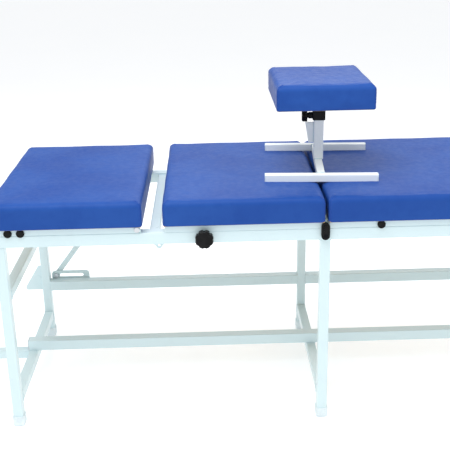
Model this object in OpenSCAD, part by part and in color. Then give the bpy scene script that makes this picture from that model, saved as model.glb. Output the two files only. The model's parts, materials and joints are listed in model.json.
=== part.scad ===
// Three-section treatment couch with a height-adjustable leg-rest stool.
// Origin: centre of the footprint on the floor. +X runs from the head end to the foot end,
// -Y is the side with the clamp knob and the latch, +Z is up.

/* [Couch] */
// Length of the three cushions together, gaps included
couch_len = 1980; // [1900:10:2060]
// Distance between the outer faces of the two top rails
frame_w = 680; // [640:10:720]
// Height of the underside of the top rails
rail_z = 630; // [560:10:700]
// Length of the hinged head cushion
head_len = 472; // [430:2:500]
// Open gap between the head cushion and the middle cushion
head_gap = 60; // [56:1:80]
// Length of the fixed middle cushion
middle_len = 496; // [470:2:520]
// Distance from the head-end legs to the centre legs
leg_pitch = 1000; // [980:5:1020]
// Gap between the middle cushion and the rolling foot cushion
foot_gap = 7; // [5:1:12]
// How far each cushion stands out past the rails
cushion_over = 14; // [8:1:20]
// Thickness of the foam and cover above the board
foam_t = 68; // [50:1:80]
// Thickness of the plywood boards
board_t = 12; // [9:1:15]
// Radius of the rounded upper cushion edges
cushion_r = 18; // [16:1:22]

/* [Frame] */
// Side of the square tube of rails and stretchers
main_tube = 38; // [36:1:40]
// Side of the square tube of legs and cross bars
leg_tube = 32; // [30:1:36]
// Wall of the tubes
wall = 2; // [1.5:0.5:3]
// Height of the centre line of the lower cross bars
lower_bar_z = 92; // [85:1:110]
// Height of the centre line of the upper cross bar at the head end
upper_bar_z = 460; // [420:5:500]
// Height of the centre line of the rear stretcher
rear_bar_z = 217; // [212:1:220]
// Reach of the extension tube past the head-end legs
extension_reach = 180; // [150:5:220]
// Depth of the steel angles under the boards
angle_h = 22; // [22:1:26]
// Width of the flat leg of the steel angles
angle_w = 22; // [20:1:24]
// Thickness of the steel angles
angle_t = 3; // [3:0.5:4]
// Distance from the head-end legs to the belt lugs
lug_from_head = 488; // [480:1:496]

/* [Motion parts] */
// Radius of the rollers that carry the foot section
roller_r = 9; // [8:0.5:9]
// Distance from the head-end legs to the front roller axle
front_axle_from_head = 1169; // [1100:1:1250]
// Travel of the foot section on its rollers
foot_travel = 120; // [60:10:120]
// Diameter of the axles and of the hinge pins
pin_d = 10; // [8:1:10]
// Diameter of the clamp knob on the rail
knob_d = 56; // [48:1:60]
// Distance from the head-end legs to the clamp knob
knob_from_head = 628; // [560:1:680]

/* [Stool] */
// Length of the two base bars
stool_bar_len = 353; // [320:1:380]
// Distance between the centre lines of the base bars
stool_bar_gap = 378; // [350:1:390]
// Side of the square tube of the base bars
stool_tube = 25; // [22:1:28]
// Side of the square outer post
post_tube = 32; // [30:1:34]
// Height of the outer post above the cross bar
post_h = 133; // [126:1:138]
// Size of the stool cushion along X
seat_x = 312; // [290:2:330]
// Size of the stool cushion along Y
seat_y = 368; // [340:2:390]
// Height of the underside of the stool cushion above the couch
seat_z = 225; // [224:1:250]
// Turn of the stool cushion against its base
seat_twist = 4; // [0:1:6]
// Distance from the head-end legs to the stool post
stool_from_head = 1017; // [980:1:1050]
// Turn of the stool about its post, seen from above
stool_yaw = -4; // [-8:1:8]

/* [Hidden] */
$fn = 48;

paint = "white";
shade = "aliceblue";
vinyl = "royalblue";
black = "dimgray";
steel = "silver";
ply = "burlywood";

// Running and standing clearances
slip = 0.3;
bore_play = 0.05;
eps = 0.5;

// Along X: every place is measured from the head-end legs
tube_r = 3;
cap_t = 3;
overhang = 30;
total_len = couch_len + extension_reach - overhang;
x_head = -total_len / 2 + extension_reach;
x_centre = x_head + leg_pitch;
x_end = x_head - overhang + couch_len;
x_foot = x_end - overhang;
x_head_cushion = x_head - overhang;
x_head_gap = x_head_cushion + head_len;
x_middle = x_head_gap + head_gap;
x_middle_end = x_middle + middle_len;
x_foot_cushion = x_middle_end + foot_gap;
rail_x0 = x_head - leg_tube / 2;
rail_x1 = x_foot + leg_tube / 2;

// Across Y
half_w = frame_w / 2;
rail_y = half_w - main_tube / 2;
cushion_half = half_w + cushion_over;

// Up Z
rail_top = rail_z + main_tube;
board_z = rail_top + angle_h;
foam_z = board_z + board_t;
couch_top = foam_z + foam_t;
stretcher_z = lower_bar_z + leg_tube / 2 + main_tube / 2;
board_inset = 4;

// Head hinge and its prop
hinge_x = x_head_gap - 18;
hinge_z = rail_top + angle_h / 2;
hinge_reach = 59;
ear_t = 5;
ear_gap = 0.5;
ear_face = half_w - angle_t - ear_gap;
prop_x = hinge_x - hinge_reach;
prop_foot_x = x_head + 35;
prop_foot_z = 247;
prop_dx = prop_x - prop_foot_x;
prop_dz = hinge_z - prop_foot_z;
prop_len = sqrt(prop_dx * prop_dx + prop_dz * prop_dz);
prop_tilt = atan(prop_dx / prop_dz);
prop_w = 20;
prop_t = 6;
prop_y = half_w + 6.5;
head_bolt_xs = [x_head + 33, x_head + 71];
head_bolt_z = rail_top + 9;
head_bolt_r = 12.4;
guide_t = 5;
guide_travel = 101;
slot_low = 5.8;
slot_high = 7.4;

// Rollers of the foot section
axle_z = rail_top + slip + roller_r;
axle_xs = [x_head + front_axle_from_head, rail_x1 - foot_travel - 26];
roller_w = 14;
roller_y = half_w - 15;
hub_cap_r = 12.4;
hub_cap_t = 8;

// Latch and knob on the near rail
latch_w = 26;
latch_h = 55;
latch_t = 11;
latch_pivot_z = rail_z + 17;
latch_x = x_centre - 2;
knob_x = x_head + knob_from_head;
knob_z = rail_z + main_tube / 2;
knob_t = 20;
knob_hub_r = 13;
stud_d = 10;
stud_in = 24;

// Stool
stool_x = x_head + stool_from_head;
stool_y = 5;
stool_z = couch_top + slip;
collar_w = 42;
collar_h = 30;
inner_tube = 27;
inner_bottom = 60;
seat_t = 68;
seat_r = 18;
clamp_z = stool_tube + post_h + 13;
boss_len = 18;
stool_knob_r = 21;
stool_knob_t = 24;

// ---------- shared shapes ----------

// Square outline with round corners, exact arcs
module soft_square(w, h, r) {
  union() {
    square([w - 2 * r, h], center = true);
    square([w, h - 2 * r], center = true);
    for (sx = [-1, 1], sy = [-1, 1])
      translate([sx * (w / 2 - r), sy * (h / 2 - r)]) circle(r, $fn = 32);
  }
}

// Hollow square tube along +Z, standing on the origin
module tube_z(side, length) {
  linear_extrude(length) difference() {
    soft_square(side, side, tube_r);
    soft_square(side - 2 * wall, side - 2 * wall, tube_r - wall + 0.5);
  }
}

// Tube along +X from the point at
module tube_x(at, side, length) {
  translate(at) rotate([90, 0, 90]) tube_z(side, length);
}

// Tube along +Y from the point at
module tube_y(at, side, length) {
  translate(at) rotate([-90, 0, 0]) tube_z(side, length);
}

// Round bar along +Y between two places
module rod_y(x, y0, y1, z, d) {
  translate([x, y0, z]) rotate([-90, 0, 0]) cylinder(d = d, h = y1 - y0);
}

// Plastic plug that closes a tube end: a plate and a tongue inside the tube; dir is its +Z
module end_plug(side) {
  inner = side - 2 * wall - 2 * slip;
  union() {
    linear_extrude(cap_t) soft_square(side, side, tube_r + 1);
    translate([0, 0, -12]) linear_extrude(12 + eps) soft_square(inner, inner, 1);
  }
}

// Steel angle along X: upright leg outside at y = half_w, flat leg on top; side = +1 far, -1 near
module side_angle(x0, x1, side, gap) {
  z0 = rail_top + gap;
  y_up = side > 0 ? half_w - angle_t : -half_w;
  y_flat = side > 0 ? half_w - angle_w : -half_w;
  union() {
    translate([x0, y_up, z0]) cube([x1 - x0, angle_t, board_z - z0]);
    translate([x0, y_flat, board_z - angle_t]) cube([x1 - x0, angle_w, angle_t]);
  }
}

// Steel angle along Y between the side angles; face = +1 puts its upright leg on the +X side
module cross_angle(x, face, gap) {
  z0 = rail_top + gap;
  len_y = frame_w - 2 * angle_w;
  x_up = face > 0 ? x + angle_w - angle_t : x;
  union() {
    translate([x_up, -len_y / 2, z0]) cube([angle_t, len_y, board_z - z0]);
    translate([x, -len_y / 2, board_z - angle_t]) cube([angle_w, len_y, angle_t]);
  }
}

// Board under one cushion
module board(x0, x1) {
  translate([x0 + board_inset, -cushion_half + board_inset, board_z])
    cube([x1 - x0 - 2 * board_inset, 2 * (cushion_half - board_inset), board_t]);
}

// Foam block of one couch cushion: end edges and long edges rounded on top
module couch_cushion(x0, x1) {
  w = x1 - x0;
  color(vinyl) intersection() {
    translate([x0, cushion_half, foam_z]) rotate([90, 0, 0]) linear_extrude(2 * cushion_half)
      top_round(w, foam_t, cushion_r);
    translate([x0, 0, foam_z]) rotate([90, 0, 90]) linear_extrude(w)
      translate([-cushion_half, 0]) top_round(2 * cushion_half, foam_t, cushion_r);
  }
}

// Rectangle standing on the X axis with its two upper corners rounded
module top_round(w, h, r) {
  union() {
    square([w, h - r]);
    translate([r, 0]) square([w - 2 * r, h]);
    for (x = [r, w - r]) translate([x, h - r]) circle(r, $fn = 64);
  }
}

// ---------- base frame ----------

module rail(side) {
  tube_x([rail_x0, side * rail_y, rail_z + main_tube / 2], main_tube, rail_x1 - rail_x0);
}

module near_rail() {
  color(paint) difference() {
    rail(-1);
    rod_y(knob_x, -half_w - eps, -half_w + wall + eps, knob_z, stud_d + 2 * bore_play);
    rod_y(latch_x, -half_w - eps, -half_w + wall + eps, latch_pivot_z, 8 + 2 * bore_play);
  }
}

module far_rail() {
  color(paint) rail(1);
}

module rail_cross_bars() {
  len_y = frame_w - 2 * main_tube;
  color(paint) for (x = [x_head_gap + 33, x_centre, x_foot])
    tube_y([x, -len_y / 2, rail_z + leg_tube / 2], leg_tube, len_y);
}

module leg(x, side) {
  shoe_floor = 5;
  color(paint) translate([x, side * rail_y, shoe_floor]) tube_z(leg_tube, rail_z - shoe_floor);
}

module leg_head_near() { leg(x_head, -1); }
module leg_head_far() { leg(x_head, 1); }
module leg_centre_near() { leg(x_centre, -1); }
module leg_centre_far() { leg(x_centre, 1); }
module leg_foot_near() { leg(x_foot, -1); }
module leg_foot_far() { leg(x_foot, 1); }

// Moulded shoe: a cup round the end of the leg with a stepped, softened sole
module shoe() {
  outer = leg_tube + 6;
  shoe_h = 34;
  difference() {
    union() {
      linear_extrude(2) soft_square(outer - 5, outer - 5, 5);
      translate([0, 0, 2]) linear_extrude(3) soft_square(outer - 2, outer - 2, 6);
      translate([0, 0, 5]) linear_extrude(shoe_h - 5) soft_square(outer, outer, 6);
    }
    translate([0, 0, 5]) linear_extrude(shoe_h) soft_square(leg_tube, leg_tube, tube_r);
  }
}

module leg_shoes() {
  color(shade) for (x = [x_head, x_centre, x_foot], side = [-1, 1])
    translate([x, side * rail_y, 0]) shoe();
}

module lower_cross_bars() {
  len_y = 2 * rail_y - leg_tube;
  color(paint) for (x = [x_head, x_centre, x_foot])
    tube_y([x, -len_y / 2, lower_bar_z], leg_tube, len_y);
}

module upper_cross_bar() {
  len_y = 2 * rail_y - leg_tube;
  color(paint) tube_y([x_head, -len_y / 2, upper_bar_z], leg_tube, len_y);
}

module central_stretcher() {
  color(paint) tube_x([rail_x0, 0, stretcher_z], main_tube, rail_x1 - rail_x0);
}

module extension_tube() {
  x0 = x_head - extension_reach + cap_t;
  color(paint) tube_x([x0, 0, lower_bar_z], leg_tube, rail_x0 - x0);
}

module rear_stretchers() {
  half = leg_tube / 2;
  spans = [[x_head + half, x_centre - half], [x_centre + half, x_foot - half]];
  color(paint) for (s = spans) tube_x([s[0], rail_y, rear_bar_z], main_tube, s[1] - s[0]);
}

module tube_end_caps() {
  rail_c = rail_z + main_tube / 2;
  color(black) {
    for (side = [-1, 1]) {
      translate([rail_x0, side * rail_y, rail_c]) rotate([0, -90, 0]) end_plug(main_tube);
      translate([rail_x1, side * rail_y, rail_c]) rotate([0, 90, 0]) end_plug(main_tube);
    }
    translate([rail_x0, 0, stretcher_z]) rotate([0, -90, 0]) end_plug(main_tube);
    translate([rail_x1, 0, stretcher_z]) rotate([0, 90, 0]) end_plug(main_tube);
    translate([x_head - extension_reach + cap_t, 0, lower_bar_z]) rotate([0, -90, 0])
      end_plug(leg_tube);
  }
}

// Slotted guide plate on the outer face of the rear stretcher: the foot of the prop runs in it
module prop_guide() {
  y0 = half_w;
  low = rear_bar_z - main_tube / 2 + 2;
  top = prop_foot_z + 19;
  end_r = 14;
  x0 = prop_foot_x - 16;
  x1 = prop_foot_x + guide_travel + 30;
  slot_h = slot_low + slot_high;
  slot_c = prop_foot_z + (slot_high - slot_low) / 2;
  color(paint) translate([0, y0 + guide_t, 0]) rotate([90, 0, 0]) linear_extrude(guide_t)
    difference() {
      union() {
        translate([x0, low]) square([x1 - x0, top - end_r - low]);
        translate([x0 + end_r, low]) square([x1 - x0 - 2 * end_r, top - low]);
        for (x = [x0 + end_r, x1 - end_r]) translate([x, top - end_r]) circle(end_r);
      }
      translate([prop_foot_x, slot_c - slot_h / 2]) square([guide_travel, slot_h]);
      for (x = [prop_foot_x, prop_foot_x + guide_travel]) translate([x, slot_c]) circle(d = slot_h);
    }
}

// Plate gusset on the outer side of the head-end far leg
module end_gusset() {
  plate_t = 5;
  reach = 66;
  low = rear_bar_z - main_tube / 2;
  high = low + 100;
  tip = rail_x0 - reach;
  color(paint) translate([0, rail_y + plate_t / 2, 0]) rotate([90, 0, 0]) linear_extrude(plate_t)
    polygon([[rail_x0, low], [tip + 4, low], [tip, low + 6], [tip, low + 14],
      [rail_x0 - 12, high], [rail_x0, high]]);
}

// Ears on the rails that carry the hinge pins of the head section
module hinge_ears() {
  color(paint) for (side = [-1, 1]) {
    y0 = side > 0 ? ear_face - ear_t : -ear_face;
    translate([0, y0 + ear_t, 0]) rotate([90, 0, 0]) linear_extrude(ear_t) difference() {
      union() {
        translate([hinge_x - 12, rail_top]) square([24, hinge_z - rail_top]);
        translate([hinge_x, hinge_z]) circle(d = 20);
      }
      translate([hinge_x, hinge_z]) circle(d = pin_d + 2 * bore_play);
    }
  }
}

// Pointed lugs under the rails, each with a hole for a stabilising belt
module belt_lugs() {
  lug_t = 5;
  lug_x = x_head + lug_from_head;
  color(paint) for (side = [-1, 1])
    translate([0, side * rail_y + lug_t / 2, 0]) rotate([90, 0, 0]) linear_extrude(lug_t)
      difference() {
        union() {
          polygon([[lug_x - 22, rail_z], [lug_x + 22, rail_z], [lug_x + 8, rail_z - 14],
            [lug_x - 8, rail_z - 14]]);
          translate([lug_x, rail_z - 11]) circle(9);
        }
        translate([lug_x, rail_z - 10]) circle(d = 8);
      }
}

// ---------- fixed middle section ----------

module middle_near_angle() {
  color(paint) side_angle(x_middle + 6, x_middle_end - 6, -1, 0);
}

module middle_far_angle() {
  color(paint) side_angle(x_middle + 6, x_middle_end - 6, 1, 0);
}

module middle_cross_angles() {
  color(paint) {
    cross_angle(x_middle + 6, -1, 2);
    cross_angle(x_middle_end - 6 - angle_w, 1, 2);
  }
}

module middle_board() { color(ply) board(x_middle, x_middle_end); }
module middle_cushion() { couch_cushion(x_middle, x_middle_end); }

// ---------- hinged head section ----------

// Side angle whose upright leg ends in a rounded eye on the hinge axis
module head_angle(side) {
  x0 = x_head_cushion + 8;
  y_up = side > 0 ? half_w - angle_t : -half_w;
  eye_r = angle_h / 2 - slip * 2;
  flat_end = hinge_x - 14;
  color(paint) difference() {
    union() {
      side_angle(x0, flat_end, side, slip * 2);
      translate([flat_end - eps, y_up, rail_top + slip * 2])
        cube([hinge_x - flat_end + eps, angle_t, 2 * eye_r]);
      rod_y(hinge_x, y_up, y_up + angle_t, hinge_z, 2 * eye_r);
    }
    rod_y(hinge_x, y_up - eps, y_up + angle_t + eps, hinge_z, pin_d);
    if (side > 0) rod_y(prop_x, y_up - eps, y_up + angle_t + eps, hinge_z, pin_d);
    for (x = head_bolt_xs) rod_y(x, y_up - eps, y_up + angle_t + eps, head_bolt_z, 8);
  }
}

module head_near_angle() { head_angle(-1); }
module head_far_angle() { head_angle(1); }

module head_cross_angles() {
  color(paint) {
    cross_angle(x_head_cushion + 8, -1, 2);
    cross_angle(hinge_x - 20 - angle_w, 1, 2);
  }
}

module head_board() { color(ply) board(x_head_cushion, x_head_gap); }
module head_cushion() { couch_cushion(x_head_cushion, x_head_gap); }

// Headed pins, fast in the side angles and running in the ears
module hinge_pins() {
  inner = ear_face - ear_t;
  color(steel) for (side = [-1, 1]) mirror([0, side > 0 ? 0 : 1, 0]) {
    rod_y(hinge_x, inner - 4, half_w + 1, hinge_z, pin_d);
    rod_y(hinge_x, half_w, half_w + 5, hinge_z, 17);
    rod_y(hinge_x, inner - 4, inner - ear_gap, hinge_z, 16);
  }
}

// Capped bolts at the head end of the side angles
module head_bolts() {
  cap_r = head_bolt_r;
  inner = half_w - angle_t;
  color(black) for (side = [-1, 1], x = head_bolt_xs) mirror([0, side > 0 ? 0 : 1, 0]) union() {
    rod_y(x, inner - 7, half_w + 1, head_bolt_z, 8);
    rod_y(x, inner - 6, inner, head_bolt_z, 13);
    rod_y(x, half_w + 0.5, half_w + 5, head_bolt_z, 2 * cap_r);
    rod_y(x, half_w + 4, half_w + 7, head_bolt_z, 2 * cap_r - 6);
  }
}

// ---------- prop of the head section ----------

// Flat bar with round eyes, from the pivot on the head section down to the guide
module prop_strut() {
  top_eye_r = 10.5;
  foot_eye_r = 14;
  color(paint) translate([prop_x, prop_y + prop_t, hinge_z]) rotate([90, 0, 0])
    rotate([0, 0, -prop_tilt]) linear_extrude(prop_t) difference() {
      union() {
        translate([-prop_w / 2, -prop_len]) square([prop_w, prop_len]);
        circle(top_eye_r);
        translate([0, -prop_len]) circle(foot_eye_r);
      }
      circle(d = pin_d + 2 * bore_play);
      translate([0, -prop_len]) circle(d = pin_d);
    }
}

// Shouldered pin, fast in the far side angle, that the prop turns on
module prop_pivot_pin() {
  color(steel) union() {
    rod_y(prop_x, half_w - angle_t - 5, prop_y + prop_t + 1, hinge_z, pin_d);
    rod_y(prop_x, half_w - angle_t - 5, half_w - angle_t, hinge_z, 15);
    rod_y(prop_x, half_w, prop_y - slip, hinge_z, 17);
    rod_y(prop_x, prop_y + prop_t + slip, prop_y + prop_t + 5, hinge_z, 20);
  }
}

// Pin through the lower eye and the slot, with a head behind the guide plate
module prop_foot_pin() {
  color(steel) union() {
    rod_y(prop_foot_x, half_w - 5, prop_y + prop_t + 1, prop_foot_z, pin_d);
    rod_y(prop_foot_x, half_w - 5, half_w - slip, prop_foot_z, 19);
    rod_y(prop_foot_x, prop_y + prop_t, prop_y + prop_t + 5, prop_foot_z, 20);
  }
}

// ---------- rolling foot section ----------

foot_angle_x0 = x_foot_cushion + 6;
foot_angle_x1 = x_end - 10;

module foot_angle(side) {
  y_up = side > 0 ? half_w - angle_t : -half_w;
  color(paint) difference() {
    side_angle(foot_angle_x0, foot_angle_x1, side, slip * 2);
    for (x = axle_xs)
      rod_y(x, y_up - eps, y_up + angle_t + eps, axle_z, pin_d + 2 * bore_play);
  }
}

module foot_near_angle() { foot_angle(-1); }
module foot_far_angle() { foot_angle(1); }

module foot_cross_angles() {
  mid = (foot_angle_x0 + foot_angle_x1) / 2;
  color(paint) {
    cross_angle(foot_angle_x0, -1, 2);
    cross_angle(mid, 1, 2);
    cross_angle(foot_angle_x1 - angle_w, 1, 2);
  }
}

module foot_board() { color(ply) board(x_foot_cushion, x_end); }
module foot_cushion() { couch_cushion(x_foot_cushion, x_end); }

module axle(x) {
  color(steel) rod_y(x, -half_w - 3, half_w + 3, axle_z, pin_d);
}

// Nylon rollers on the axle, one over each rail
module rollers(x) {
  color(black) for (side = [-1, 1]) difference() {
    rod_y(x, side * roller_y - roller_w / 2, side * roller_y + roller_w / 2, axle_z, 2 * roller_r);
    rod_y(x, side * roller_y - roller_w, side * roller_y + roller_w, axle_z, pin_d);
  }
}

// Domed caps on the axle ends, outside the side angles
module hub_caps(x) {
  color(black) for (side = [-1, 1]) mirror([0, side > 0 ? 0 : 1, 0]) difference() {
    union() {
      rod_y(x, half_w + 0.5, half_w + hub_cap_t - 2, axle_z, 2 * hub_cap_r);
      rod_y(x, half_w + 2, half_w + hub_cap_t, axle_z, 2 * hub_cap_r - 7);
    }
    rod_y(x, half_w, half_w + 3, axle_z, pin_d);
  }
}

module front_axle() { axle(axle_xs[0]); }
module front_rollers() { rollers(axle_xs[0]); }
module front_hub_caps() { hub_caps(axle_xs[0]); }
module rear_axle() { axle(axle_xs[1]); }
module rear_rollers() { rollers(axle_xs[1]); }
module rear_hub_caps() { hub_caps(axle_xs[1]); }

// ---------- latch and rail knob ----------

// Rounded lever that turns on the rail in front of the section joint
module latch_lever() {
  r = latch_w / 2;
  top = latch_pivot_z - r + latch_h - r;
  color(black) translate([0, -half_w - 1, 0]) rotate([90, 0, 0]) difference() {
    union() {
      linear_extrude(latch_t) {
        translate([latch_x, latch_pivot_z]) circle(r);
        translate([latch_x, top]) circle(r);
        translate([latch_x - r, latch_pivot_z]) square([latch_w, top - latch_pivot_z]);
      }
      linear_extrude(latch_t + 3) {
        translate([latch_x, latch_pivot_z + 14]) circle(5);
        translate([latch_x, top]) circle(5);
        translate([latch_x - 5, latch_pivot_z + 14]) square([10, top - latch_pivot_z - 14]);
      }
    }
    translate([latch_x, latch_pivot_z, -eps]) cylinder(d = 8 + 2 * bore_play, h = latch_t + 2 * eps);
    translate([latch_x, latch_pivot_z, latch_t - 3]) cylinder(d = 15, h = 10);
  }
}

module latch_bolt() {
  y_face = -half_w - 1 - latch_t;
  color(steel) union() {
    rod_y(latch_x, y_face + 2, -half_w + 12, latch_pivot_z, 8);
    rod_y(latch_x, y_face + 0.5, y_face + 3 - slip, latch_pivot_z, 14);
    rod_y(latch_x, -half_w + wall, -half_w + wall + 6, latch_pivot_z, 14);
  }
}

// Round clamp knob with finger flutes and a stud into the rail
module knob_body(r, t, hub_r, hub_t) {
  flutes = 8;
  flute_r = r * 0.2;
  union() {
    difference() {
      union() {
        translate([0, 0, hub_t]) cylinder(r = r, h = t - 3);
        translate([0, 0, hub_t + t - 3]) cylinder(r1 = r, r2 = r - 3, h = 3);
      }
      for (i = [0 : flutes - 1]) rotate([0, 0, i * 360 / flutes])
        translate([r + flute_r * 0.45, 0, hub_t - eps]) cylinder(r = flute_r, h = t + 1);
    }
    cylinder(r = hub_r, h = hub_t + 1);
  }
}

module rail_knob() {
  color(black) translate([knob_x, -half_w - slip, knob_z]) rotate([90, 0, 0]) union() {
    knob_body(knob_d / 2, knob_t, knob_hub_r, 8);
    translate([0, 0, -stud_in]) cylinder(d = stud_d, h = stud_in + 4);
  }
}

// ---------- leg-rest stool ----------

module at_stool() {
  translate([stool_x, stool_y, stool_z]) rotate([0, 0, stool_yaw]) children();
}

module stool_base_bars() {
  color(paint) at_stool() for (side = [-1, 1])
    tube_x([-stool_bar_len / 2, side * stool_bar_gap / 2, stool_tube / 2], stool_tube, stool_bar_len);
}

module stool_cross_bar() {
  len_y = stool_bar_gap - stool_tube;
  color(paint) at_stool() tube_y([0, -len_y / 2, stool_tube / 2], stool_tube, len_y);
}

module stool_bar_caps() {
  color(shade) at_stool() for (side = [-1, 1], turn = [-1, 1])
    translate([turn * stool_bar_len / 2, side * stool_bar_gap / 2, stool_tube / 2])
      rotate([0, turn * 90, 0]) end_plug(stool_tube);
}

module stool_outer_post() {
  color(paint) at_stool() translate([0, 0, stool_tube]) linear_extrude(post_h) difference() {
    soft_square(post_tube, post_tube, tube_r);
    square(post_tube - 2 * wall, center = true);
  }
}

// Tapered web on the post, under the clamp boss
module stool_gusset() {
  x0 = -post_tube / 2;
  top = stool_tube + post_h - 10;
  color(paint) at_stool() translate([0, 3, 0]) rotate([90, 0, 0]) linear_extrude(6)
    polygon([[x0, 80], [x0 - 18, 80], [x0 - 29, top], [x0, top]]);
}

// Moulded collar on top of the outer post, with the boss of the clamp screw
module stool_collar() {
  z0 = stool_tube + post_h;
  hole = inner_tube + 2 * slip;
  color(black) at_stool() difference() {
    union() {
      translate([0, 0, z0]) linear_extrude(collar_h) soft_square(collar_w, collar_w, 5);
      translate([-collar_w / 2 + 2, 0, clamp_z]) rotate([0, -90, 0]) cylinder(d = 22, h = boss_len - 3);
    }
    translate([0, 0, z0 - eps]) linear_extrude(collar_h + 2 * eps) square(hole, center = true);
    translate([-hole / 2 + eps, 0, clamp_z]) rotate([0, -90, 0])
      cylinder(d = 8 + 2 * bore_play, h = collar_w);
  }
}

// Square post and the plate that carries the stool cushion
module stool_inner_post() {
  plate = 160;
  plate_t = 4;
  top = seat_z - plate_t;
  color(steel) at_stool() union() {
    translate([0, 0, inner_bottom]) linear_extrude(top - inner_bottom + eps) difference() {
      soft_square(inner_tube, inner_tube, 2);
      square(inner_tube - 2 * wall, center = true);
    }
    translate([0, 0, top]) linear_extrude(plate_t) soft_square(plate, plate, 10);
  }
}

module stool_board() {
  color(ply) at_stool() rotate([0, 0, seat_twist]) translate([0, 0, seat_z]) linear_extrude(board_t)
    soft_square(seat_x - 2 * board_inset, seat_y - 2 * board_inset, 6);
}

module stool_cushion() {
  z0 = seat_z + board_t;
  color(vinyl) at_stool() rotate([0, 0, seat_twist]) intersection() {
    translate([-seat_x / 2, seat_y / 2, z0]) rotate([90, 0, 0]) linear_extrude(seat_y)
      top_round(seat_x, seat_t, seat_r);
    translate([-seat_x / 2, 0, z0]) rotate([90, 0, 90]) linear_extrude(seat_x)
      translate([-seat_y / 2, 0]) top_round(seat_y, seat_t, seat_r);
  }
}

module stool_knob() {
  face = collar_w / 2 + boss_len - 5;
  reach = inner_tube / 2 + 0.4;
  color(black) at_stool() translate([-face - slip, 0, clamp_z]) rotate([0, -90, 0]) union() {
    knob_body(stool_knob_r, stool_knob_t - 6, 9, 4);
    translate([0, 0, -(face + slip - reach)]) cylinder(d = 8, h = face + slip - reach + 2);
  }
}

// ---------- one line per node ----------

near_rail();
far_rail();
rail_cross_bars();
leg_head_near();
leg_head_far();
leg_centre_near();
leg_centre_far();
leg_foot_near();
leg_foot_far();
leg_shoes();
lower_cross_bars();
upper_cross_bar();
central_stretcher();
extension_tube();
rear_stretchers();
tube_end_caps();
prop_guide();
end_gusset();
hinge_ears();
belt_lugs();
middle_near_angle();
middle_far_angle();
middle_cross_angles();
middle_board();
middle_cushion();
head_near_angle();
head_far_angle();
head_cross_angles();
head_board();
head_cushion();
hinge_pins();
head_bolts();
prop_strut();
prop_pivot_pin();
prop_foot_pin();
foot_near_angle();
foot_far_angle();
foot_cross_angles();
foot_board();
foot_cushion();
front_axle();
front_rollers();
front_hub_caps();
rear_axle();
rear_rollers();
rear_hub_caps();
latch_lever();
latch_bolt();
rail_knob();
stool_base_bars();
stool_cross_bar();
stool_bar_caps();
stool_outer_post();
stool_gusset();
stool_collar();
stool_inner_post();
stool_board();
stool_cushion();
stool_knob();
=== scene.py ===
"""Looks of the sectional treatment couch and its leg-rest stool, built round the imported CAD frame."""

import json
import math
import random

import bmesh
import bpy
from mathutils import Euler, Matrix, Vector
from mathutils.bvhtree import BVHTree


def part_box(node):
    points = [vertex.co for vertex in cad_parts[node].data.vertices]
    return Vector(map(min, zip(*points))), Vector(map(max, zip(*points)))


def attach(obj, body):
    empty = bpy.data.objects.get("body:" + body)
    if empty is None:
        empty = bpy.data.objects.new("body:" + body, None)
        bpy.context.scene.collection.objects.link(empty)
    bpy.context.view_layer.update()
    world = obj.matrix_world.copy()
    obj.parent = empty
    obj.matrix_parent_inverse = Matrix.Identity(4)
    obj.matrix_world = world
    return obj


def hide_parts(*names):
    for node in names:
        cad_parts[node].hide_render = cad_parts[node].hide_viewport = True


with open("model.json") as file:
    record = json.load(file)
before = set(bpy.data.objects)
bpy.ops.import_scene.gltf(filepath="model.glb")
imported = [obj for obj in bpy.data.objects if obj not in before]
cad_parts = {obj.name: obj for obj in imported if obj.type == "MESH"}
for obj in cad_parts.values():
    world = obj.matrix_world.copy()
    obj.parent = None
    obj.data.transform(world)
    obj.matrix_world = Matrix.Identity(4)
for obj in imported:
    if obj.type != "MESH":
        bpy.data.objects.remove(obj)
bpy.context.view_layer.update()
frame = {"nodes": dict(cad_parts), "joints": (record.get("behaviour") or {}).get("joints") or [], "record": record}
MM = 0.001

# ---------- what the frame says ----------

JOINTS = {j["name"]: j for j in frame["joints"]}
knob_axis = Vector(JOINTS["stool_knob_turn"]["axis"])
STOOL_YAW = math.atan2(-knob_axis.y, -knob_axis.x)


# ---------- materials ----------


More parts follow.
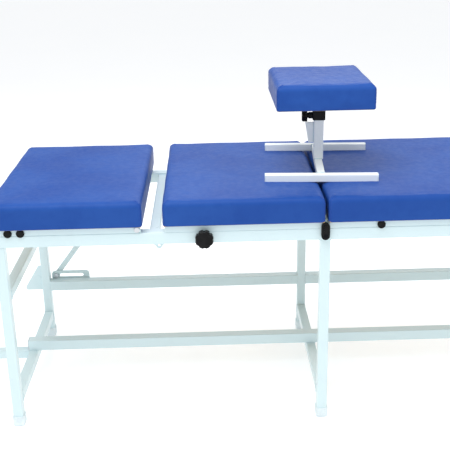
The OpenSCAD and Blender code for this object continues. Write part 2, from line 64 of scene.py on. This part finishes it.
class Shader:
    """A small helper that adds and links the nodes of one material."""

    def __init__(self, name):
        self.material = bpy.data.materials.new(name)
        self.material.use_nodes = True
        self.tree = self.material.node_tree
        self.tree.nodes.clear()
        self.out = self.tree.nodes.new("ShaderNodeOutputMaterial")
        self.bsdf = self.tree.nodes.new("ShaderNodeBsdfPrincipled")
        self.link(self.bsdf.outputs[0], self.out.inputs[0])
        self.place = self.tree.nodes.new("ShaderNodeTexCoord").outputs["Object"]
        self.bumps = None

    def link(self, a, b):
        self.tree.links.new(a, b)

    def set(self, **values):
        """Sets sockets of the main shader by name, with _ for a space."""
        for name, value in values.items():
            socket = self.bsdf.inputs[name.replace("_", " ")]
            if hasattr(value, "links"):
                self.link(value, socket)
            else:
                socket.default_value = value

    def add(self, kind, **inputs):
        """Adds a node and gives its inputs values or links; returns the node."""
        node = self.tree.nodes.new(kind)
        for name, value in inputs.items():
            key = int(name[1:]) if name[0] == "i" and name[1:].isdigit() else name.replace("_", " ")
            socket = node.inputs[key]
            if hasattr(value, "links"):
                self.link(value, socket)
            else:
                socket.default_value = value
        return node

    def stretched(self, x, y, z):
        """Object place scaled along each axis, for brushed or drawn grain."""
        return self.add("ShaderNodeMapping", Vector=self.place, Scale=(x, y, z)).outputs[0]

    def noise(self, scale, detail=3.0, rough=0.5, place=None):
        node = self.add("ShaderNodeTexNoise", Vector=place or self.place, Scale=scale)
        node.inputs["Detail"].default_value = detail
        node.inputs["Roughness"].default_value = rough
        return node.outputs["Fac"]

    def cells(self, scale, feature="F1", place=None):
        node = self.add("ShaderNodeTexVoronoi", Vector=place or self.place, Scale=scale)
        node.feature = feature
        return node.outputs["Distance"]

    def ramp(self, value, low, high, at=(0.0, 1.0)):
        """Maps value from the range at to the range low..high, clamped."""
        node = self.add("ShaderNodeMapRange", Value=value)
        for key, number in zip(("From Min", "From Max", "To Min", "To Max"), (*at, low, high)):
            node.inputs[key].default_value = number
        return node.outputs[0]

    def mix(self, factor, a, b):
        """Mixes two colours by factor."""
        node = self.tree.nodes.new("ShaderNodeMix")
        node.data_type = "RGBA"
        for index, value in ((0, factor), (6, a), (7, b)):
            if hasattr(value, "links"):
                self.link(value, node.inputs[index])
            else:
                node.inputs[index].default_value = value
        return node.outputs[2]

    def math(self, operation, a, b=0.0):
        node = self.add("ShaderNodeMath", i0=a, i1=b)
        node.operation = operation
        return node.outputs[0]

    def bump(self, height, strength, distance):
        """Adds one more layer of bump on top of the earlier ones."""
        node = self.add("ShaderNodeBump", Height=height, Strength=strength, Distance=distance)
        if self.bumps is not None:
            self.link(self.bumps, node.inputs["Normal"])
        self.bumps = node.outputs[0]
        self.link(self.bumps, self.bsdf.inputs["Normal"])


def rgb(red, green, blue):
    """sRGB numbers from 0 to 255 as a linear colour."""
    def linear(c):
        c = c / 255
        return c / 12.92 if c <= 0.04045 else ((c + 0.055) / 1.055) ** 2.4
    return (linear(red), linear(green), linear(blue), 1.0)


def vinyl_material():
    """PVC leathercloth: fine pebble grain, semi-gloss, slightly uneven colour."""
    s = Shader("vinyl_blue")
    drift = s.noise(5.0, 2.0)
    stains = s.noise(38.0, 4.0)
    colour = s.mix(s.ramp(drift, 0.0, 1.0, (0.35, 0.65)), rgb(35, 74, 150), rgb(41, 82, 158))
    colour = s.mix(s.ramp(stains, 0.0, 0.25, (0.45, 0.75)), colour, rgb(27, 62, 137))
    s.set(Base_Color=colour, Roughness=s.ramp(s.noise(60.0, 3.0), 0.34, 0.46, (0.3, 0.7)))
    s.set(Specular_IOR_Level=0.08)
    s.bump(s.noise(14.0, 3.0), 0.25, 0.004)
    s.bump(s.cells(760.0), 0.22, 0.0004)
    s.bump(s.noise(1500.0, 2.0), 0.10, 0.0002)
    return s.material


def thread_material():
    s = Shader("thread_blue")
    twist = s.noise(900.0, 2.0)
    s.set(Base_Color=s.mix(twist, rgb(28, 58, 150), rgb(50, 88, 190)), Roughness=0.7)
    s.bump(twist, 0.4, 0.0003)
    return s.material


def paint_material(name, colour, rough=0.32):
    """Stoved enamel on steel: orange peel, faint dirt, a few rubbed patches."""
    s = Shader(name)
    dirt = s.ramp(s.noise(7.0, 5.0, 0.65), 0.0, 0.30, (0.56, 0.80))
    shade = tuple(c * 0.80 for c in colour[:3]) + (1.0,)
    base = s.mix(dirt, colour, shade)
    rubbed = s.noise(26.0, 6.0, 0.7)
    scuffs = s.math("MULTIPLY", s.ramp(rubbed, 0.0, 1.0, (0.70, 0.76)),
                    s.ramp(s.noise(3.0, 2.0), 0.0, 1.0, (0.50, 0.62)))
    base = s.mix(s.math("MULTIPLY", scuffs, 0.45), base, rgb(150, 156, 158))
    s.set(Base_Color=base, Roughness=s.ramp(rubbed, rough - 0.06, rough + 0.12, (0.3, 0.75)))
    s.set(Specular_IOR_Level=0.5, Coat_Weight=0.25, Coat_Roughness=0.12)
    s.bump(s.noise(230.0, 2.0), 0.12, 0.0006)
    s.bump(s.noise(1400.0, 1.0), 0.05, 0.0002)
    return s.material


def plastic_material(name, colour, rough, shine=0.3, grain=1100.0, strength=0.12):
    """Moulded plastic: spark-eroded grain, handling marks."""
    s = Shader(name)
    marks = s.noise(45.0, 5.0, 0.6)
    light = tuple(min(1.0, c * 1.25 + 0.01) for c in colour[:3]) + (1.0,)
    s.set(Base_Color=s.mix(s.ramp(marks, 0.0, 0.7, (0.42, 0.72)), colour, light))
    s.set(Roughness=s.ramp(marks, rough - 0.07, rough + 0.10, (0.3, 0.7)))
    s.set(Specular_IOR_Level=shine)
    s.bump(s.noise(grain, 2.0), strength, 0.0003)
    return s.material


def steel_material(name, colour, rough, across=(1.0, 30.0, 1.0)):
    """Zinc-plated steel: drawn lines, cloudy plating, a little tarnish."""
    s = Shader(name)
    lines = s.noise(160.0, 3.0, 0.6, s.stretched(*across))
    clouds = s.noise(60.0, 4.0)
    dull = tuple(c * 0.72 for c in colour[:3]) + (1.0,)
    s.set(Base_Color=s.mix(s.ramp(clouds, 0.0, 0.8, (0.4, 0.75)), colour, dull), Metallic=1.0)
    s.set(Roughness=s.ramp(lines, rough - 0.05, rough + 0.15, (0.3, 0.7)))
    s.bump(lines, 0.08, 0.0003)
    return s.material


def wood_material():
    """Birch plywood face: long grain with darker pores."""
    s = Shader("birch_ply")
    warp = s.noise(3.0, 2.0)
    along = s.stretched(1.2, 16.0, 16.0)
    grain = s.noise(9.0, 6.0, 0.6, along)
    pores = s.noise(60.0, 3.0, 0.6, along)
    colour = s.mix(s.ramp(grain, 0.0, 1.0, (0.3, 0.7)), rgb(205, 172, 126), rgb(176, 138, 92))
    colour = s.mix(s.ramp(pores, 0.0, 0.5, (0.58, 0.75)), colour, rgb(122, 88, 54))
    colour = s.mix(s.ramp(warp, 0.0, 0.25, (0.4, 0.7)), colour, rgb(150, 116, 76))
    s.set(Base_Color=colour, Roughness=s.ramp(pores, 0.50, 0.68, (0.3, 0.7)))
    s.bump(grain, 0.12, 0.0005)
    s.bump(pores, 0.15, 0.0003)
    return s.material


VINYL = vinyl_material()
THREAD = thread_material()
PAINT = paint_material("white_enamel", rgb(208, 228, 232))
# whiter copy of the frame enamel for the stool: painted light that brightens the stool's tubes
STOOL_PAINT_WITH_PAINTED_LIGHT = paint_material("stool_enamel_painted_light", rgb(244, 250, 250))
WELD = paint_material("enamel_over_weld", rgb(196, 218, 223), 0.40)
BLACK = plastic_material("black_phenolic", rgb(9, 9, 10), 0.34, 0.14)
NYLON = plastic_material("black_nylon", rgb(24, 24, 26), 0.48, 0.2)
SHOE = plastic_material("pale_plastic", rgb(214, 226, 230), 0.48, 0.3, 900.0, 0.18)
CAP = plastic_material("grey_plastic", rgb(186, 198, 203), 0.46, 0.3, 900.0, 0.18)
ZINC = steel_material("zinc_steel", rgb(205, 208, 212), 0.30)
DARK_BOLT = steel_material("black_passivated_steel", rgb(30, 30, 33), 0.40)
POST = steel_material("plated_post", rgb(222, 225, 229), 0.18, (30.0, 30.0, 1.0))
PLY = wood_material()
STAPLE = steel_material("staple_steel", rgb(190, 192, 196), 0.34)

FINISH = {
    "frame_paint": PAINT,
    "plywood": PLY,
    "white_plastic": SHOE,
    "cap_plastic": CAP,
    "black_plastic": BLACK,
    "nylon": NYLON,
    "zinc_steel": ZINC,
    "vinyl": VINYL,
}


def finish_of_nodes():
    """Gives every carried CAD node the material of its slot."""
    for part in frame["record"]["subparts"]:
        node = frame["nodes"][part["node"]]
        node.data.materials.clear()
        node.data.materials.append(FINISH[part["material_slot"]])
        # the stool's painted tubes take the whiter copy of the enamel, which is painted light
        if part["node"].startswith("stool_") and part["material_slot"] == "frame_paint":
            node.data.materials[0] = STOOL_PAINT_WITH_PAINTED_LIGHT
    frame["nodes"]["stool_inner_post"].data.materials[0] = POST
    frame["nodes"]["latch_bolt"].data.materials[0] = DARK_BOLT


finish_of_nodes()

# ---------- mesh helpers ----------


def new_object(name, mesh, material):
    piece = bpy.data.objects.new(name, mesh)
    bpy.context.scene.collection.objects.link(piece)
    mesh.materials.append(material)
    for polygon in mesh.polygons:
        polygon.use_smooth = True
    return piece


def from_bmesh(name, bm, material):
    mesh = bpy.data.meshes.new(name)
    bmesh.ops.recalc_face_normals(bm, faces=bm.faces)
    bm.to_mesh(mesh)
    bm.free()
    return new_object(name, mesh, material)


def sweep(bm, path, radius, sides=8, closed=False):
    """Tube along a list of points; radius is a number or a function of the point's index."""
    count = len(path)
    rings = []
    side = None
    for i, point in enumerate(path):
        before = path[(i - 1) % count] if closed or i > 0 else path[i]
        after = path[(i + 1) % count] if closed or i < count - 1 else path[i]
        along = (after - before).normalized()
        if side is None:
            side = along.orthogonal().normalized()
        side = (side - along * side.dot(along)).normalized()
        up = along.cross(side)
        r = radius(i) if callable(radius) else radius
        rings.append([
            bm.verts.new(point + (side * math.cos(a) + up * math.sin(a)) * r)
            for a in (2 * math.pi * k / sides for k in range(sides))
        ])
    for i in range(count if closed else count - 1):
        a, b = rings[i], rings[(i + 1) % count]
        for k in range(sides):
            bm.faces.new((a[k], a[(k + 1) % sides], b[(k + 1) % sides], b[k]))
    if not closed:
        bm.faces.new(list(reversed(rings[0])))
        bm.faces.new(rings[-1])


# ---------- cushions ----------

TOP_R = 18 * MM
TIGHT = 1 * MM
HEM_R = 5 * MM
CORNER_R = 9 * MM
HEM_WIDTH = 25 * MM
HEM_DROP = 0.6 * MM
BOARD_GAP = 2.7 * MM
EDGE_STEPS = [0, 5 * MM, 9.5 * MM, 14 * MM, 18 * MM, 25 * MM]
PANEL_STEP = 9 * MM
PINNED_HEM = 11 * MM
SLIDE_CAP = 1.5 * MM
TOP_RINGS = 5
CLOTH_FRAMES = 20

# corner seams and their stitches
SEAM_INSET = 30 * MM
SEAM_STEPS = 60
SEAM_REACH = 120 * MM
SEAM_BEND_FROM = 0.72
SEAM_BEND = math.radians(58)
STITCH_OFFSET = 3.6 * MM
STITCH = 3.0 * MM
STITCH_GAP = 1.6 * MM

# staples and the pulls they make
STAPLE_PITCH = 46 * MM
STAPLE_INSET = 15 * MM
STAPLE_END_INSET = 40 * MM
STAPLE_HALF = 5 * MM


def lattice(half):
    """Places from -half to half, close together near both ends."""
    inner = half - EDGE_STEPS[-1]
    count = max(2, round(2 * inner / PANEL_STEP))
    left = [-half + e for e in EDGE_STEPS[:-1]]
    mid = [-inner + 2 * inner * i / count for i in range(count + 1)]
    return left + mid + [-x for x in reversed(left)]


def heights(total):
    """Places from 0 to total, with the hem's and the top's round edges at the ends."""
    low = [0, HEM_R / 2, HEM_R]
    top = [total - TOP_R + TOP_R * i / TOP_RINGS for i in range(TOP_RINGS + 1)]
    room = total - TOP_R - HEM_R
    count = max(2, round(room / PANEL_STEP))
    return low + [HEM_R + room * i / count for i in range(1, count)] + top


def cover_point(x, y, z, a, b, height):
    """Point of the tight cover for a point on the surface of its box."""
    e = max(0.0, min(a - abs(x), b - abs(y)))
    quarter = math.pi / 4
    up = z > height / 2
    radius = TOP_R if up else HEM_R
    from_edge = height - z if up else z
    if from_edge < 1e-9 and e >= radius:
        inset, level = e, 0.0
    else:
        if from_edge < 1e-9:
            turn = quarter * (1 + e / radius)
        else:
            turn = quarter * (1 - min(1.0, from_edge / radius))
        inset = radius * (1 - math.cos(turn))
        level = radius * (1 - math.sin(turn)) if from_edge < radius else from_edge
    px = x * (a - inset) / (a - e)
    py = y * (b - inset) / (b - e)
    corner = CORNER_R + 0.6 * min(inset, radius) - max(0.0, inset - radius)
    corner = max(corner, 1e-5)
    qx = max(-(a - inset - corner), min(a - inset - corner, px))
    qy = max(-(b - inset - corner), min(b - inset - corner, py))
    dx, dy = px - qx, py - qy
    length = math.hypot(dx, dy)
    if length > 1e-9:
        shrink = max(abs(dx), abs(dy)) / length
        px, py = qx + dx * shrink, qy + dy * shrink
    return Vector((px, py, height - level if up else level))


def tight_cover(a, b, height):
    """Closed mesh of the cover before it swells, centred on its footprint."""
    xs, ys, zs = lattice(a), lattice(b), heights(height)
    nx, ny, nz = len(xs) - 1, len(ys) - 1, len(zs) - 1
    bm = bmesh.new()
    found = {}

    def vert(i, j, k):
        if (i, j, k) not in found:
            found[i, j, k] = bm.verts.new(cover_point(xs[i], ys[j], zs[k], a, b, height))
        return found[i, j, k]

    def face(at, u, v):
        steps = ((0, 0, 0), u, [p + q for p, q in zip(u, v)], v)
        bm.faces.new([vert(*(p + q for p, q in zip(at, step))) for step in steps])

    for i in range(nx):
        for j in range(ny):
            for k in (0, nz):
                face((i, j, k), (1, 0, 0), (0, 1, 0))
    for k in range(nz):
        for i in range(nx):
            for j in (0, ny):
                face((i, j, k), (1, 0, 0), (0, 0, 1))
        for j in range(ny):
            for i in (0, nx):
                face((i, j, k), (0, 1, 0), (0, 0, 1))
    bmesh.ops.recalc_face_normals(bm, faces=bm.faces)
    return bm


def swell_limit(p, a, b, height, crown, belly):
    """How far a point of the cover may move out: little at the hem and the edges, most mid-panel."""
    edge = max(0.0, min(a - abs(p.x), b - abs(p.y)))
    if p.z > height - TOP_R and edge > 2 * MM:
        return crown * (1 - math.exp(-edge / (0.16 * min(a, b) + 0.02)))
    rise = math.sin(math.pi * min(1.0, max(0.0, (p.z - HEM_R) / (height - HEM_R))))
    near_corner = max(a - abs(p.x), b - abs(p.y))
    return belly * rise * (1 - math.exp(-near_corner / 0.05))


def simulated(piece, hem_z):
    """Runs the cover as cloth under pressure and returns where each vertex ends."""
    group = piece.vertex_groups.new(name="hem")
    group.add([v.index for v in piece.data.vertices if v.co.z < hem_z], 1.0, "REPLACE")
    cloth = piece.modifiers.new("cloth", "CLOTH")
    s = cloth.settings
    s.quality = 5
    s.mass = 0.45
    s.tension_stiffness = s.compression_stiffness = 22
    s.shear_stiffness = 8
    s.bending_stiffness = 3
    s.use_pressure = True
    s.uniform_pressure_force = 4
    s.vertex_group_mass = "hem"
    s.pin_stiffness = 1
    s.shrink_min = -0.012
    s.effector_weights.gravity = 0
    cloth.collision_settings.use_collision = False
    cloth.collision_settings.use_self_collision = False
    scene = bpy.context.scene
    scene.frame_start, scene.frame_end = 1, CLOTH_FRAMES
    cloth.point_cache.frame_start, cloth.point_cache.frame_end = 1, CLOTH_FRAMES
    for step in range(1, CLOTH_FRAMES + 1):
        scene.frame_set(step)
    graph = bpy.context.evaluated_depsgraph_get()
    moved = [v.co.copy() for v in piece.evaluated_get(graph).data.vertices]
    piece.modifiers.remove(cloth)
    piece.vertex_groups.clear()
    scene.frame_set(1)
    return moved


def pull_marks(p, a, b, height, phase):
    """Small shifts of the cover: staple pulls along the hem and puckers beside the corner seams."""
    low = math.exp(-((p.z - HEM_R) / 0.013) ** 2) if p.z > HEM_R else 0.0
    along = p.x if b - abs(p.y) < a - abs(p.x) else p.y
    pulls = -0.7 * MM * low * (0.5 + 0.5 * math.cos(2 * math.pi * along / STAPLE_PITCH + phase))
    corner = math.hypot(a - abs(p.x), b - abs(p.y))
    side = 1.0 if p.z < height - 4 * MM else 0.35
    pucker = 0.75 * MM * side * math.exp(-corner / 0.028)
    pucker *= math.sin(2 * math.pi * p.z / 0.021 + 9.0 * corner / 0.028 + phase)
    top = math.exp(-((p.z - height + 6 * MM) / 0.02) ** 2)
    long_waves = 0.5 * MM * top * math.sin(2 * math.pi * along / 0.19 + 2.3 * phase)
    return pulls + pucker + long_waves


def open_underside(bm, a, b, board_height):
    """Folds the cover in under the board as a hem, and takes the bottom up round the board's space."""
    reach_x, reach_y = a - HEM_WIDTH + 0.1 * MM, b - HEM_WIDTH + 0.1 * MM
    board_x, board_y = a - BOARD_GAP, b - BOARD_GAP
    region = [
        f for f in bm.faces
        if all(v.co.z < 0.05 * MM and abs(v.co.x) < reach_x and abs(v.co.y) < reach_y for v in f.verts)
    ]
    steps = [
        (HEM_DROP, 1.0, 1.0),
        (0.0, board_x / (reach_x - 0.1 * MM), board_y / (reach_y - 0.1 * MM)),
        (board_height, 1.0, 1.0),
    ]
    for rise, grow_x, grow_y in steps:
        made = bmesh.ops.extrude_face_region(bm, geom=region)["geom"]
        left_behind = [f for f in region if f.is_valid]
        bmesh.ops.delete(bm, geom=left_behind, context="FACES")
        region = [g for g in made if isinstance(g, bmesh.types.BMFace)]
        for v in {v for f in region for v in f.verts}:
            v.co = Vector((v.co.x * grow_x, v.co.y * grow_y, v.co.z + rise))


def seam_and_stitches(name, body, surface, place, a, b, height):
    """Raised seams up the four corners, with a row of stitches on each side of each."""
    seams, threads = bmesh.new(), bmesh.new()
    for sx in (-1, 1):
        for sy in (-1, 1):
            corner = Vector((sx * (a - SEAM_INSET), sy * (b - SEAM_INSET), 0))
            out = Vector((sx, sy, 0)).normalized()
            across = Vector((-sy, sx, 0)).normalized()
            for offset in (0.0, -STITCH_OFFSET, STITCH_OFFSET):
                points = []
                for i in range(SEAM_STEPS + 1):
                    rise = i / SEAM_STEPS
                    turn = max(0.0, rise - SEAM_BEND_FROM) / (1 - SEAM_BEND_FROM) * SEAM_BEND
                    level = HEM_R + rise * (height - HEM_R)
                    origin = corner + Vector((0, 0, min(level, height - TOP_R * 0.9)))
                    aim = out * math.cos(turn) + Vector((0, 0, 1)) * math.sin(turn)
                    hit = surface.ray_cast(origin + across * offset + aim * SEAM_REACH, -aim)
                    if hit[0] is not None:
                        points.append((hit[0], hit[1]))
                if offset == 0.0:
                    path = [place @ (p - n * 0.35 * MM) for p, n in points]
                    sweep(seams, path, lambda i: (1.15 + 0.12 * math.sin(i * 2.1)) * MM)
                else:
                    stitch_row(threads, points, place)
    seam = from_bmesh(name + "_corner_seams", seams, VINYL)
    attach(seam, body)
    thread = from_bmesh(name + "_stitches", threads, THREAD)
    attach(thread, body)


def stitch_row(bm, points, place):
    """Row of stitches sunk at their ends, along a list of (point, normal)."""
    travelled = [0.0]
    for (p, _), (q, _) in zip(points, points[1:]):
        travelled.append(travelled[-1] + (q - p).length)

    def at(distance):
        for i in range(len(points) - 1):
            if travelled[i + 1] >= distance:
                span = max(1e-9, travelled[i + 1] - travelled[i])
                t = (distance - travelled[i]) / span
                return points[i][0].lerp(points[i + 1][0], t), points[i][1]
        return points[-1]

    start = 2 * MM
    while start + STITCH < travelled[-1]:
        path = []
        for i in range(5):
            t = i / 4
            p, n = at(start + STITCH * t)
            path.append(place @ (p + n * (0.42 * math.sin(math.pi * t) - 0.12) * MM))
        sweep(bm, path, 0.34 * MM, 6)
        start += STITCH + STITCH_GAP


def staples(name, body, place, a, b):
    """Staples that hold the hem to the underside of the board."""
    bm = bmesh.new()
    rng = random.Random(17)
    for half, other, swapped in ((a, b, False), (b, a, True)):
        reach = half - STAPLE_END_INSET
        count = max(3, round(2 * reach / STAPLE_PITCH))
        for side in (-1, 1):
            for i in range(count + 1):
                along = -reach + 2 * reach * i / count + rng.uniform(-2, 2) * MM
                tilt = rng.uniform(-0.25, 0.25)
                direction = Vector((math.cos(tilt), math.sin(tilt), 0)) * STAPLE_HALF
                centre = Vector((along, side * (other - STAPLE_INSET), 0))
                if swapped:
                    direction = Vector((direction.y, direction.x, 0))
                    centre = Vector((centre.y, centre.x, 0))
                crown, tip = Vector((0, 0, -0.25 * MM)), Vector((0, 0, 0.95 * MM))
                one, two = centre - direction, centre + direction
                path = [one + tip, one + crown, two + crown, two + tip]
                sweep(bm, [place @ p for p in path], 0.45 * MM, 5)
    piece = from_bmesh(name + "_staples", bm, STAPLE)
    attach(piece, body)


def cushion(name, body, node, board, crown, belly, phase):
    """One upholstered cushion: foam and cover wrapped round the board and stapled beneath it."""
    low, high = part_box(node)
    board_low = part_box(board)[0].z
    centre = (low + high) / 2
    a, b = (high.x - low.x) / 2 - TIGHT, (high.y - low.y) / 2 - TIGHT
    bottom = board_low - HEM_DROP
    height = high.z - bottom - TIGHT
    bm = tight_cover(a, b, height)
    mesh = bpy.data.meshes.new(name)
    bm.to_mesh(mesh)
    bm.free()
    piece = new_object(name, mesh, VINYL)
    rest = [v.co.copy() for v in mesh.vertices]
    normals = [v.normal.copy() for v in mesh.vertices]
    moved = simulated(piece, PINNED_HEM)
    for v, p, q, n in zip(mesh.vertices, rest, moved, normals):
        if p.z < HEM_DROP:
            continue
        limit = max(1e-6, swell_limit(p, a, b, height, crown, belly))
        out = (q - p).dot(n)
        slide = (q - p) - n * out
        slide *= 0.5 * min(1.0, SLIDE_CAP / max(slide.length, 1e-9))
        swell = limit * math.tanh(max(0.0, out) / limit)
        v.co = p + n * (swell + pull_marks(p, a, b, height, phase)) + slide
    bm = bmesh.new()
    bm.from_mesh(mesh)
    open_underside(bm, a, b, low.z - board_low)
    bmesh.ops.recalc_face_normals(bm, faces=bm.faces)
    surface = BVHTree.FromBMesh(bm)
    bm.to_mesh(mesh)
    bm.free()
    for polygon in mesh.polygons:
        polygon.use_smooth = True
    smooth = piece.modifiers.new("smooth", "SUBSURF")
    smooth.levels = smooth.render_levels = 1
    place = Matrix.Translation((centre.x, centre.y, bottom))
    mesh.transform(place)
    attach(piece, body)
    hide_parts(node)
    seam_and_stitches(name, body, surface, place, a, b, height)
    staples(name, body, place, a, b)


cushion("head_cushion_cover", "head_section", "head_cushion", "head_board", 4.0 * MM, 2.0 * MM, 0.4)
cushion("middle_cushion_cover", "base_frame", "middle_cushion", "middle_board", 4.0 * MM, 2.0 * MM, 1.7)
cushion("foot_cushion_cover", "foot_section", "foot_cushion", "foot_board", 4.5 * MM, 2.0 * MM, 2.9)
cushion("stool_cushion_cover", "stool_top", "stool_cushion", "stool_board", 5.0 * MM, 2.5 * MM, 4.1)

# ---------- welds ----------

BEAD_R = 2.0 * MM
BEAD_STEP = 0.9 * MM
RIPPLE = 3.6 * MM
TOUCH = 0.2 * MM
LEAST_OVERLAP = 4 * MM
LOW_SIDE, HIGH_SIDE = 0, 2


def solid_boxes(node, turn):
    """Boxes of the separate solids of a CAD node, in the frame that turn leads into."""
    piece = frame["nodes"][node]
    points = [turn @ (piece.matrix_world @ v.co) for v in piece.data.vertices]
    keys = [tuple(round(c / (0.01 * MM)) for c in p) for p in points]
    parent = {k: k for k in keys}

    def root(k):
        while parent[k] != k:
            parent[k] = parent[parent[k]]
            k = parent[k]
        return k

    for polygon in piece.data.polygons:
        first = root(keys[polygon.vertices[0]])
        for index in polygon.vertices[1:]:
            parent[root(keys[index])] = first
    groups = {}
    for k, p in zip(keys, points):
        groups.setdefault(root(k), []).append(p)
    return [
        ([min(p[c] for p in g) for c in range(3)], [max(p[c] for p in g) for c in range(3)])
        for g in groups.values()
    ]


def contact(one, two):
    """Rectangle in which two boxes touch: (axis, place on it, lows, highs), or None."""
    lows = [max(one[0][c], two[0][c]) for c in range(3)]
    highs = [min(one[1][c], two[1][c]) for c in range(3)]
    gaps = [h - l for l, h in zip(lows, highs)]
    thin = min(range(3), key=lambda c: gaps[c])
    others = [gaps[c] for c in range(3) if c != thin]
    if abs(gaps[thin]) > TOUCH or min(others) < LEAST_OVERLAP:
        return None
    return thin, lows[thin], lows, highs


def bead(bm, touch, back, phase, skip):
    """Rippled fillet weld round one contact rectangle; skip is a list with the side to leave out, if any."""
    axis, place, lows, highs = touch
    u, v = [c for c in range(3) if c != axis]
    corners = [(lows[u], lows[v]), (highs[u], lows[v]), (highs[u], highs[v]), (lows[u], highs[v])]
    if skip:
        first = skip[0] + 1
        corners = corners[first:] + corners[:first]
    ends = corners[1:] if skip else corners[1:] + corners[:1]
    path = []
    for (u0, v0), (u1, v1) in zip(corners, ends):
        length = math.hypot(u1 - u0, v1 - v0)
        trim = min(1.6 * MM, length / 3) / length
        count = max(3, round(length / BEAD_STEP))
        for i in range(count):
            t = trim + (1 - 2 * trim) * i / (count - 1)
            point = Vector((0, 0, 0))
            point[axis] = place
            point[u], point[v] = u0 + (u1 - u0) * t, v0 + (v1 - v0) * t
            weave = 0.25 * MM * math.sin(len(path) * 0.37 + phase)
            point[u] += weave
            point[v] += weave
            path.append(back @ point)
    beat = 2 * math.pi * BEAD_STEP / RIPPLE

    def thickness(i):
        return BEAD_R * (1 + 0.10 * math.sin(i * beat) + 0.07 * math.sin(i * 0.11 + phase))

    sweep(bm, path, thickness, 7, not skip)


def welds(name, body, pairs, yaw=0.0):
    """Beads where the solids of each pair of nodes touch; a third item names the side left bare."""
    back = Matrix.Rotation(yaw, 4, "Z")
    turn = back.inverted()
    bm = bmesh.new()
    boxes = {node: solid_boxes(node, turn) for pair in pairs for node in pair[:2]}
    made = 0
    for first, second, *skip in pairs:
        for one in boxes[first]:
            for two in boxes[second]:
                touch = contact(one, two)
                if touch:
                    bead(bm, touch, back, made * 1.7, skip)
                    made += 1
    piece = from_bmesh(name, bm, WELD)
    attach(piece, body)


HEAD_LEGS = ["leg_head_near", "leg_head_far"]
LEGS = HEAD_LEGS + ["leg_centre_near", "leg_centre_far", "leg_foot_near", "leg_foot_far"]
RAILS = ["near_rail", "far_rail"]
welds(
    "frame_welds", "base_frame",
    [(leg, rail) for leg in LEGS for rail in RAILS]
    + [(leg, bars) for leg in LEGS for bars in ("lower_cross_bars", "rear_stretchers")]
    + [(leg, other) for leg in HEAD_LEGS for other in ("upper_cross_bar", "end_gusset")]
    + [(node, rail) for rail in RAILS for node in ("rail_cross_bars", "belt_lugs")]
    + [("hinge_ears", "near_rail", LOW_SIDE), ("hinge_ears", "far_rail", HIGH_SIDE)]
    + [("central_stretcher", "lower_cross_bars"), ("extension_tube", "lower_cross_bars")]
    + [("prop_guide", "rear_stretchers", HIGH_SIDE)],
)
welds(
    "stool_base_welds", "stool_base",
    [("stool_base_bars", "stool_cross_bar", LOW_SIDE), ("stool_cross_bar", "stool_outer_post"),
     ("stool_outer_post", "stool_gusset")],
    STOOL_YAW,
)

# ---------- floor, light, camera ----------

FLOOR_HALF = 40.0
FLOOR_DROP = 0.5 * MM


def studio():
    """Plain pale floor, soft box above, two soft fills."""
    mesh = bpy.data.meshes.new("floor")
    corners = [(x * FLOOR_HALF, y * FLOOR_HALF, 0) for x, y in ((-1, -1), (1, -1), (1, 1), (-1, 1))]
    mesh.from_pydata(corners, [], [(0, 1, 2, 3)])
    s = Shader("pale_floor")
    s.set(Base_Color=s.mix(s.noise(1.5, 2.0), rgb(246, 247, 248), rgb(250, 250, 250)), Roughness=0.7)
    s.set(Emission_Color=(1.0, 1.0, 1.0, 1.0), Emission_Strength=0.28)
    floor = new_object("floor", mesh, s.material)
    floor.location.z = -FLOOR_DROP
    world = bpy.data.worlds.new("studio")
    bpy.context.scene.world = world
    world.use_nodes = True
    world.node_tree.nodes["Background"].inputs[0].default_value = (0.96, 0.98, 1.0, 1.0)
    world.node_tree.nodes["Background"].inputs[1].default_value = 0.72
    lamps = [
        ("key", (-0.8, -1.1, 3.8), 2.6, 96),
        ("fill", (2.6, -1.2, 2.8), 2.4, 18),
        ("back", (0.4, 2.6, 3.0), 2.6, 30),
    ]
    for name, place, side, power in lamps:
        light = bpy.data.lights.new(name, "AREA")
        light.size = side
        light.energy = power
        lamp = bpy.data.objects.new(name, light)
        lamp.location = place
        aim = Vector((0, 0, 0.5)) - Vector(place)
        lamp.rotation_mode = "QUATERNION"
        lamp.rotation_quaternion = aim.to_track_quat("-Z", "Y")
        bpy.context.scene.collection.objects.link(lamp)
    bpy.context.scene.view_settings.view_transform = "Standard"


def camera():
    """Eye of a standing person, turned a little, looking down on the couch."""
    data = bpy.data.cameras.new("camera")
    data.lens = 68.8
    data.sensor_width = 36.0
    eye = bpy.data.objects.new("camera", data)
    pitch, yaw, roll = math.radians(20.0), math.radians(1.07), math.radians(-1.14)
    turn = Euler((math.pi / 2 - pitch, 0, -yaw)).to_matrix()
    eye.rotation_euler = (turn @ Matrix.Rotation(roll, 3, "Z")).to_euler()
    eye.location = (-0.239, -2.795, 1.581)
    bpy.context.scene.collection.objects.link(eye)
    bpy.context.scene.camera = eye


studio()
camera()
